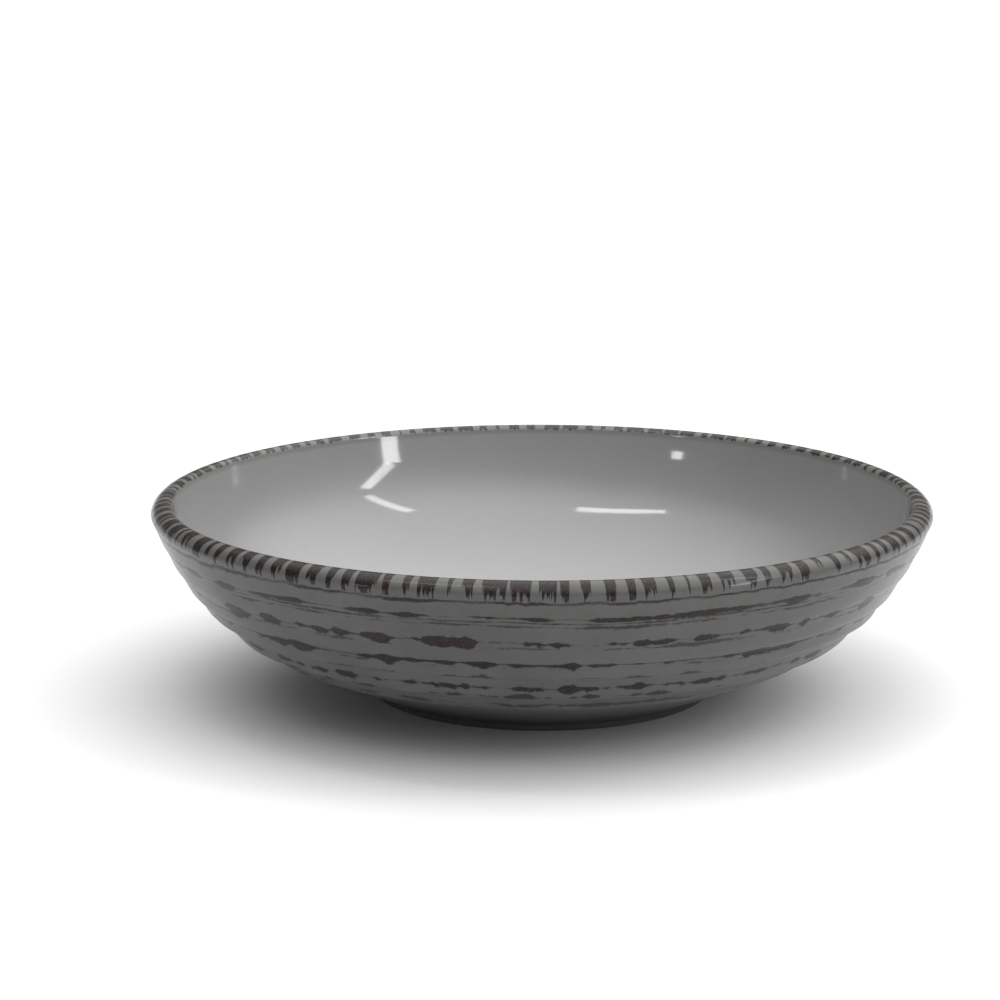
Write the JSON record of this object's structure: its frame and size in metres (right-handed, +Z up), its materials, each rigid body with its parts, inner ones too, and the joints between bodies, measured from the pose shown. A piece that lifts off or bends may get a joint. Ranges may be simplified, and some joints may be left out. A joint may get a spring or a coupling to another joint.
{
  "type": "chip and dip server",
  "caption": "Wide, low, round chip bowl with a coiled, painted outside and a rolled rim, and a small lift-out dip bowl seated in a ring on its floor.",
  "frame": {"origin": "on the surface the bowl stands on, under the centre of its foot", "axes": "+Z up along the axis of both bowls; X and Y are level, and any direction round the axis is the same"},
  "size_m": [0.356, 0.356, 0.09],
  "materials": {
    "serving_melamine": "glossy moulded melamine, stone grey, with printed dark brown brush marks in rows round the outside and strokes over the rim",
    "dip_melamine": "glossy moulded melamine, stone grey, with printed dark brown strokes over the rim and brush marks round the outside"
  },
  "bodies": {
    "serving_bowl": {"serving_bowl": "serving_melamine"},
    "dip_bowl": {"dip_bowl": "dip_melamine"}
  },
  "joints": [
    {"name": "dip_bowl_lift", "type": "slide", "parent": "serving_bowl", "child": "dip_bowl", "axis": [0, 0, 1], "range_m": [0, 0.12]}
  ]
}
